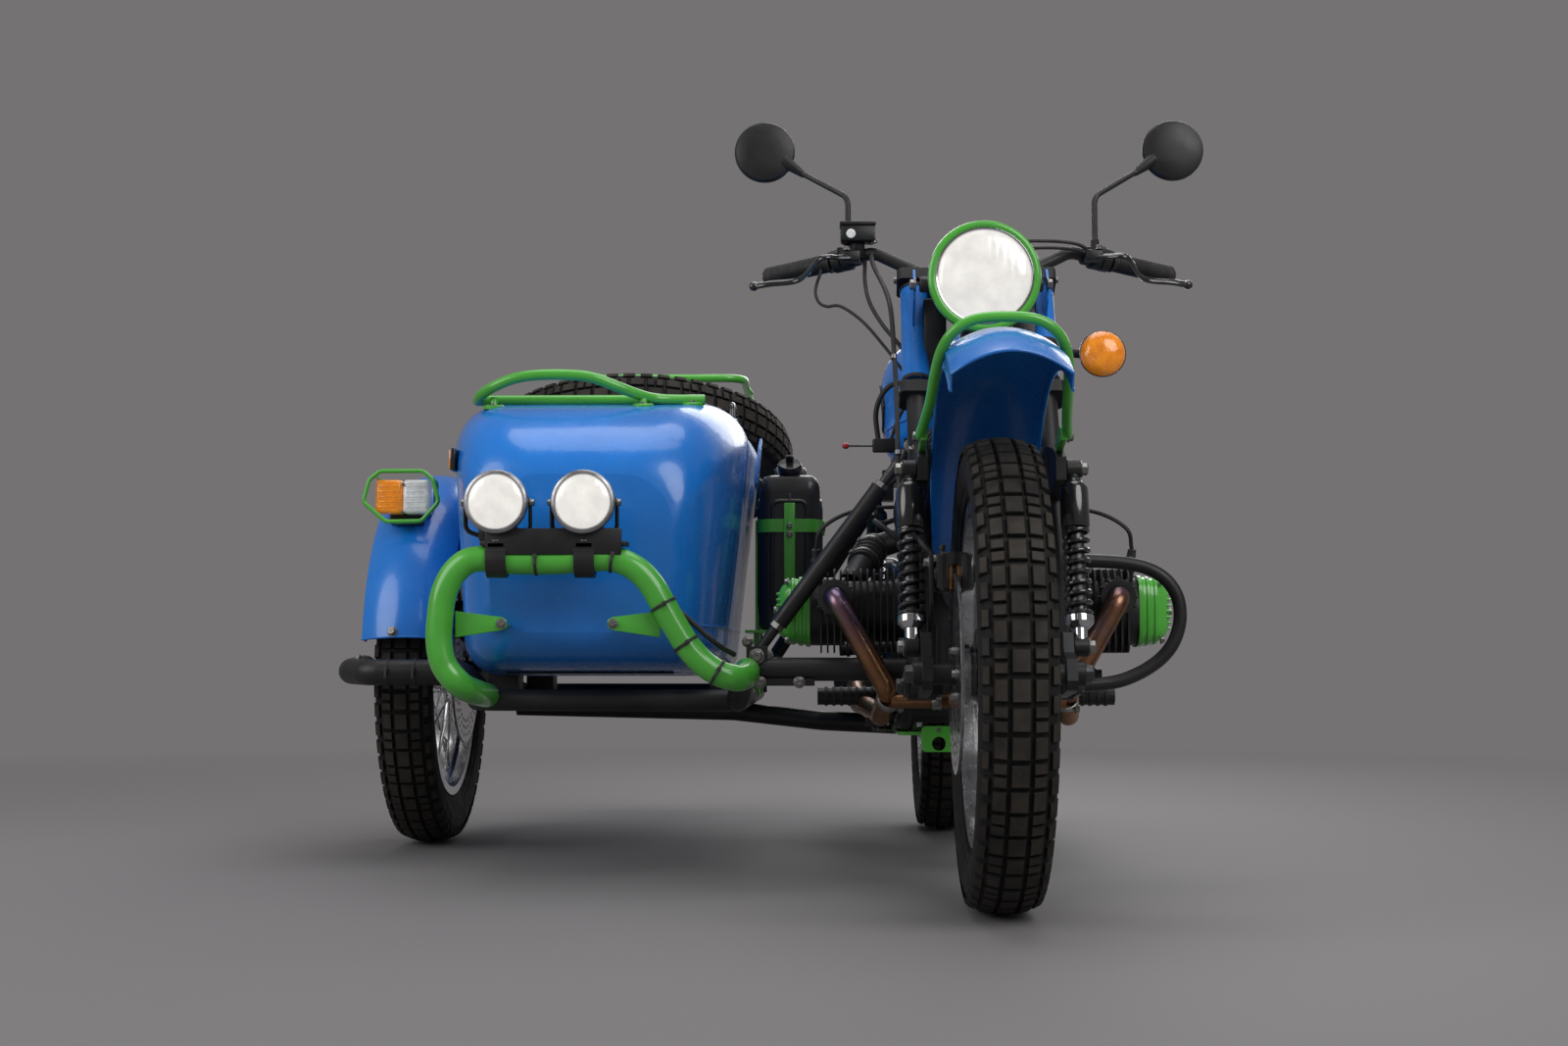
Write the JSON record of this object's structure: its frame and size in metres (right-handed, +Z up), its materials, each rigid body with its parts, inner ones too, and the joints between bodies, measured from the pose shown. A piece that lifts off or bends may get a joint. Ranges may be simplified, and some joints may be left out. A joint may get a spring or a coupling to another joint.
{
  "type": "sidecar motorcycle",
  "caption": "Flat-twin motorcycle with a blue sidecar on its right, green tube guards, a spare wheel and a rack over the trunk.",
  "frame": {"origin": "on the ground, at the middle of the whole vehicle's box", "axes": "+Z up, the front of the vehicle faces -Y, +X is the rider's left, the sidecar lies on -X"},
  "size_m": [1.5839, 2.37, 1.327],
  "materials": {
    "blue_paint": "gloss",
    "green_paint": "gloss",
    "black_paint": "satin",
    "engine_black": "satin",
    "tyre_rubber": "matte",
    "bronze_steel": "satin",
    "wheel_metal": "polished",
    "lamp_glass": "polished",
    "amber_lens": "gloss",
    "red_lens": "gloss",
    "seat_vinyl": "satin",
    "rubber": "matte",
    "can_black": "satin"
  },
  "bodies": {
    "chassis": {"bike_frame": "black_paint", "engine_block": "engine_black", "cylinders": "engine_black", "valve_covers": "green_paint", "intake": "engine_black", "exhaust_headers": "bronze_steel", "silencers": "black_paint", "fuel_tank": "blue_paint", "bike_seat": "seat_vinyl", "rear_fender": "blue_paint", "tail_lamp": "red_lens", "crash_bar": "black_paint", "foot_controls": "black_paint", "rear_swingarm": "engine_black", "rear_shocks": "black_paint", "skid_plate": "green_paint", "sidecar_frame": "black_paint", "sidecar_struts": "black_paint", "sidecar_body": "blue_paint", "sidecar_seat": "seat_vinyl", "sidecar_fender": "blue_paint", "sidecar_lamps": "lamp_glass", "lamp_guard": "green_paint", "nose_bumper": "green_paint", "nose_rail": "green_paint", "jerrycan": "can_black", "can_bracket": "green_paint", "sidecar_swingarm": "black_paint", "brake_calipers": "black_paint", "hinge_brackets": "black_paint"},
    "fork_body": {"fork": "black_paint", "fork_shrouds": "blue_paint", "leading_links": "black_paint", "front_shocks": "black_paint", "front_fender": "blue_paint", "fender_hoop": "green_paint", "headlamp": "lamp_glass", "handlebar": "black_paint", "bar_controls": "rubber", "mirrors": "black_paint", "turn_signal": "amber_lens", "front_caliper": "black_paint"},
    "trunk_body": {"trunk_lid": "blue_paint", "spare_tyre": "tyre_rubber", "spare_wheel": "wheel_metal", "spare_rack": "green_paint"},
    "front_wheel_body": {"front_tyre": "tyre_rubber", "front_wheel": "wheel_metal"},
    "rear_wheel_body": {"rear_tyre": "tyre_rubber", "rear_wheel": "wheel_metal"},
    "sidecar_wheel_body": {"sidecar_tyre": "tyre_rubber", "sidecar_wheel": "wheel_metal"}
  },
  "joints": [
    {"name": "steering", "type": "hinge", "parent": "chassis", "child": "fork_body", "pos_m": [0.376, -0.45254, 0.888], "axis": [0, 0.454, 0.891], "range_deg": [-35, 35]},
    {"name": "front_spin", "type": "hinge", "parent": "fork_body", "child": "front_wheel_body", "pos_m": [0.376, -0.835, 0.35], "axis": [1, 0, 0], "continuous": true},
    {"name": "rear_spin", "type": "hinge", "parent": "chassis", "child": "rear_wheel_body", "pos_m": [0.376, 0.665, 0.35], "axis": [1, 0, 0], "continuous": true},
    {"name": "sidecar_spin", "type": "hinge", "parent": "chassis", "child": "sidecar_wheel_body", "pos_m": [-0.684, 0.325, 0.35], "axis": [1, 0, 0], "continuous": true},
    {"name": "trunk_hinge", "type": "hinge", "parent": "chassis", "child": "trunk_body", "pos_m": [-0.301, 0.471, 0.868], "axis": [1, 0, 0], "range_deg": [0, 60]}
  ]
}
